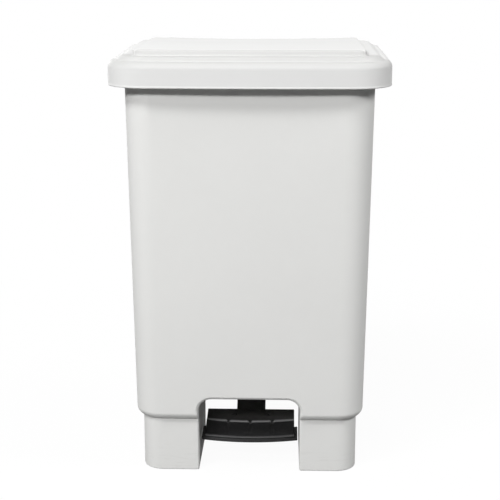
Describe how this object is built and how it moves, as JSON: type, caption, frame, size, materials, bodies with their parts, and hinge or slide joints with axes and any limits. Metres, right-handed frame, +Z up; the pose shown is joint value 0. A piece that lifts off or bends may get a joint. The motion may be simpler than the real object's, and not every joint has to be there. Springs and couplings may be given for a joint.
{
  "type": "pedal trash can",
  "caption": "Plastic step-on trash can: tapered tub on legs, lid hinged at the rear, foot pedal in an arch, lever and lift rod, lift-out inner liner.",
  "frame": {"origin": "on the floor, under the middle of the lid's outline", "axes": "+Z up, the front with the pedal faces -Y, +X to the right as seen from the front"},
  "size_m": [0.413, 0.369, 0.645],
  "materials": {
    "tub_plastic": "fine satin moulded polyethylene, warm white",
    "lid_plastic": "fine satin moulded polyethylene, white",
    "liner_plastic": "satin grey moulded plastic",
    "black_plastic": "fine grained black moulded plastic, worn smooth on its crests",
    "grey_plastic": "plain bearing plastic",
    "black_rubber": "matte",
    "zinc_steel": "bright zinc plated",
    "black_steel": "black oxide screws"
  },
  "bodies": {
    "bin": {"body_shell": "tub_plastic", "inner_liner": "liner_plastic", "lever_axle": "zinc_steel", "axle_cap_left": "zinc_steel", "axle_cap_right": "zinc_steel", "rod_guide_lower": "black_plastic", "rod_guide_upper": "black_plastic", "guide_screw_lower_left": "zinc_steel", "guide_screw_lower_right": "zinc_steel", "guide_screw_upper_left": "zinc_steel", "guide_screw_upper_right": "zinc_steel", "hinge_pin_left": "zinc_steel", "hinge_pin_right": "zinc_steel"},
    "lid": {"lid": "lid_plastic", "lid_bumper_left": "black_rubber", "lid_bumper_right": "black_rubber"},
    "pedal": {"pedal_tread": "black_plastic", "pedal_lever": "black_plastic", "pedal_screw_left": "black_steel", "pedal_screw_right": "black_steel", "axle_bush_left": "grey_plastic", "axle_bush_right": "grey_plastic"},
    "rod": {"lift_rod": "zinc_steel", "rod_clip_upper": "zinc_steel", "rod_clip_lower": "zinc_steel"}
  },
  "joints": [
    {"name": "lid_hinge", "type": "hinge", "parent": "bin", "child": "lid", "pos_m": [0, 0.174, 0.6], "axis": [-1, 0, 0], "range_deg": [0, 75]},
    {"name": "pedal_pivot", "type": "hinge", "parent": "bin", "child": "pedal", "pos_m": [0, 0.01, 0.076], "axis": [1, 0, 0], "range_deg": [0, 12.17]},
    {"name": "rod_slide", "type": "slide", "parent": "bin", "child": "rod", "axis": [0, 0, 1], "range_m": [0, 0.0307]}
  ],
  "couplings": [
    {"joint": "pedal_pivot", "follows": "lid_hinge", "ratio": 0.16223},
    {"joint": "rod_slide", "follows": "lid_hinge", "m_per_rad": 0.023447}
  ]
}
